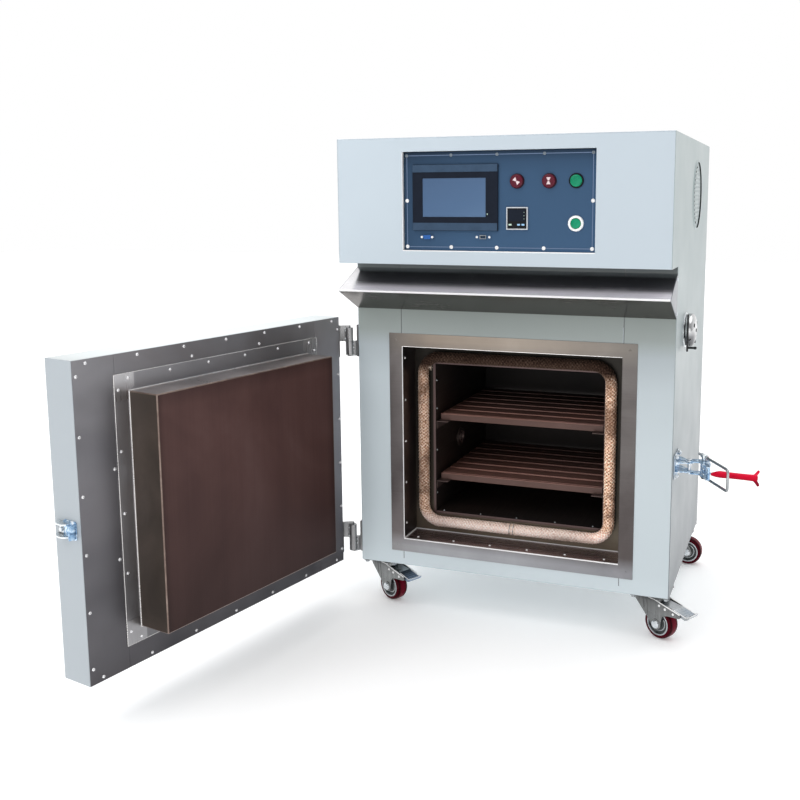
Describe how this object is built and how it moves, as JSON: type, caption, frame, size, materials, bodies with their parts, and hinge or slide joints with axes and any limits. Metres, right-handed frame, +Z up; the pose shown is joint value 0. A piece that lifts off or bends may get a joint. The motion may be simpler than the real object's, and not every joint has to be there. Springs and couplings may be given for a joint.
{
  "type": "chamber oven",
  "caption": "Floor-standing insulated hot-air oven on braked casters, with a swing-open plug door, side toggle latch, slatted shelves, drip hood and a recessed control panel.",
  "frame": {"origin": "on the floor under the middle of the cabinet's width, in the plane of the lower front", "axes": "+X to the right as seen from the front, +Y from the front to the back, +Z up"},
  "size_m": [1.2109, 1.3936, 1.139],
  "materials": {
    "cabinet_paint": "smooth satin powder coat, pale blue grey",
    "panel_paint": "satin slate blue",
    "hood_steel": "bright, mirror-like",
    "trim_steel": "brushed stainless, lightly heat tinted",
    "fastener": "bright",
    "rope": "woven heat resistant rope, browned",
    "liner_steel": "stainless, dark heat tint",
    "wool": "mineral wool",
    "rail_steel": "stainless, heat tinted",
    "shelf_steel": "stainless, purple brown heat tint",
    "heater": "oxidised",
    "motor": "satin",
    "fan_metal": "plain",
    "screen_plastic": "satin dark navy",
    "port_metal": "bright",
    "signal_plastic": "gloss",
    "controller_plastic": "gloss black with a silver rim",
    "key_plastic": "pale",
    "button_green": "gloss green",
    "tray_metal": "plain",
    "gland_plastic": "matte black",
    "port_steel": "stainless",
    "cap_chrome": "polished",
    "zinc": "blue zinc plate",
    "door_steel": "stainless, dull",
    "plug_steel": "stainless, brown heat tint with worn edges",
    "grip_red": "red dipped plastic",
    "wheel_rubber": "maroon"
  },
  "bodies": {
    "cabinet": {"side_panel_left": "cabinet_paint", "side_panel_right": "cabinet_paint", "top_panel": "cabinet_paint", "control_front": "cabinet_paint", "control_deck": "cabinet_paint", "front_frame": "cabinet_paint", "back_cover": "cabinet_paint", "bottom_plate": "cabinet_paint", "hood": "hood_steel", "trim_frame": "trim_steel", "trim_rivets": "fastener", "gasket_rope": "rope", "chamber_liner": "liner_steel", "insulation": "wool", "shelf_rails": "rail_steel", "heater_elements": "heater", "air_baffle": "liner_steel", "fan_motor": "motor", "thermocouple": "rail_steel", "control_panel": "panel_paint", "panel_screws": "fastener", "touch_screen": "screen_plastic", "data_ports": "port_metal", "panel_signals": "signal_plastic", "temp_controller": "controller_plastic", "electrics_tray": "tray_metal", "cable_gland": "gland_plastic", "side_port": "port_steel", "caster_plates": "zinc", "hinge_cabinet_leaves": "zinc", "clamp_base": "zinc"},
    "door": {"door_shell": "cabinet_paint", "door_inner_sheet": "door_steel", "door_plug_flange": "door_steel", "door_plug": "plug_steel", "door_insulation": "wool", "door_screws": "fastener", "strike_hook": "zinc", "hinge_door_leaves": "zinc"},
    "shelf_upper": {"shelf_upper": "shelf_steel"},
    "shelf_lower": {"shelf_lower": "shelf_steel"},
    "fan": {"fan_impeller": "fan_metal"},
    "power_button": {"power_button": "button_green"},
    "key_left": {"controller_key_left": "key_plastic"},
    "key_mid": {"controller_key_mid": "key_plastic"},
    "key_right": {"controller_key_right": "key_plastic"},
    "vent_cap": {"vent_cap": "cap_chrome"},
    "latch_handle": {"clamp_handle": "zinc", "clamp_grip": "grip_red"},
    "latch_bail": {"clamp_ubolt": "zinc"},
    "fork_fl": {"caster_fork_fl": "zinc"},
    "wheel_fl": {"caster_wheel_fl": "wheel_rubber"},
    "fork_fr": {"caster_fork_fr": "zinc"},
    "wheel_fr": {"caster_wheel_fr": "wheel_rubber"},
    "fork_rl": {"caster_fork_rl": "zinc"},
    "wheel_rl": {"caster_wheel_rl": "wheel_rubber"},
    "fork_rr": {"caster_fork_rr": "zinc"},
    "wheel_rr": {"caster_wheel_rr": "wheel_rubber"},
    "pedal_fl": {"brake_pedal_fl": "zinc"},
    "pedal_fr": {"brake_pedal_fr": "zinc"}
  },
  "joints": [
    {"name": "door_swing", "type": "hinge", "parent": "cabinet", "child": "door", "pos_m": [-0.401, -0.0081, 0.414], "axis": [0, 0, -1], "range_deg": [-101.63, 73]},
    {"name": "shelf_upper_slide", "type": "slide", "parent": "cabinet", "child": "shelf_upper", "axis": [0, -1, 0], "range_m": [0, 0.25]},
    {"name": "shelf_lower_slide", "type": "slide", "parent": "cabinet", "child": "shelf_lower", "axis": [0, -1, 0], "range_m": [0, 0.25]},
    {"name": "fan_spin", "type": "hinge", "parent": "cabinet", "child": "fan", "pos_m": [0, 0.3, 0.66], "axis": [0, 0, 1], "continuous": true},
    {"name": "power_press", "type": "slide", "parent": "cabinet", "child": "power_button", "axis": [0, 1, 0], "range_m": [0, 0.003], "stiffness_N_per_m": 600},
    {"name": "key_left_press", "type": "slide", "parent": "cabinet", "child": "key_left", "axis": [0, 1, 0], "range_m": [0, 0.0006], "stiffness_N_per_m": 800},
    {"name": "key_mid_press", "type": "slide", "parent": "cabinet", "child": "key_mid", "axis": [0, 1, 0], "range_m": [0, 0.0006], "stiffness_N_per_m": 800},
    {"name": "key_right_press", "type": "slide", "parent": "cabinet", "child": "key_right", "axis": [0, 1, 0], "range_m": [0, 0.0006], "stiffness_N_per_m": 800},
    {"name": "vent_turn", "type": "hinge", "parent": "cabinet", "child": "vent_cap", "pos_m": [0.394, 0.16, 0.702], "axis": [1, 0, 0], "range_deg": [0, 90]},
    {"name": "swivel_fl", "type": "hinge", "parent": "cabinet", "child": "fork_fl", "pos_m": [-0.336, 0.05, 0.099], "axis": [0, 0, 1], "continuous": true},
    {"name": "roll_fl", "type": "hinge", "parent": "fork_fl", "child": "wheel_fl", "pos_m": [-0.31105, 0.03729, 0.0375], "axis": [0.454, 0.891, 0], "continuous": true},
    {"name": "brake_fl", "type": "hinge", "parent": "fork_fl", "child": "pedal_fl", "pos_m": [-0.30392, 0.03366, 0.084], "axis": [0.454, 0.891, 0], "range_deg": [0, 12]},
    {"name": "swivel_fr", "type": "hinge", "parent": "cabinet", "child": "fork_fr", "pos_m": [0.336, 0.05, 0.099], "axis": [0, 0, 1], "continuous": true},
    {"name": "roll_fr", "type": "hinge", "parent": "fork_fr", "child": "wheel_fr", "pos_m": [0.36072, 0.03685, 0.0375], "axis": [0.4695, 0.8829, 0], "continuous": true},
    {"name": "brake_fr", "type": "hinge", "parent": "fork_fr", "child": "pedal_fr", "pos_m": [0.36779, 0.0331, 0.084], "axis": [0.4695, 0.8829, 0], "range_deg": [0, 12]},
    {"name": "swivel_rl", "type": "hinge", "parent": "cabinet", "child": "fork_rl", "pos_m": [-0.336, 0.535, 0.099], "axis": [0, 0, 1], "continuous": true},
    {"name": "roll_rl", "type": "hinge", "parent": "fork_rl", "child": "wheel_rl", "pos_m": [-0.30895, 0.54225, 0.0375], "axis": [-0.2588, 0.9659, 0], "continuous": true},
    {"name": "swivel_rr", "type": "hinge", "parent": "cabinet", "child": "fork_rr", "pos_m": [0.336, 0.535, 0.099], "axis": [0, 0, 1], "continuous": true},
    {"name": "roll_rr", "type": "hinge", "parent": "fork_rr", "child": "wheel_rr", "pos_m": [0.36393, 0.53305, 0.0375], "axis": [0.0698, 0.9976, 0], "continuous": true},
    {"name": "latch_throw", "type": "hinge", "parent": "cabinet", "child": "latch_handle", "pos_m": [0.412, 0.042, 0.409], "axis": [0, 0, -1], "range_deg": [-94.3, 12]},
    {"name": "bail_swing", "type": "hinge", "parent": "latch_handle", "child": "latch_bail", "pos_m": [0.444, 0.05, 0.409], "axis": [0, 0, -1], "range_deg": [-16.7, 130.4]}
  ],
  "couplings": [
    {"joint": "bail_swing", "follows": "latch_throw", "ratio": -1.381}
  ]
}
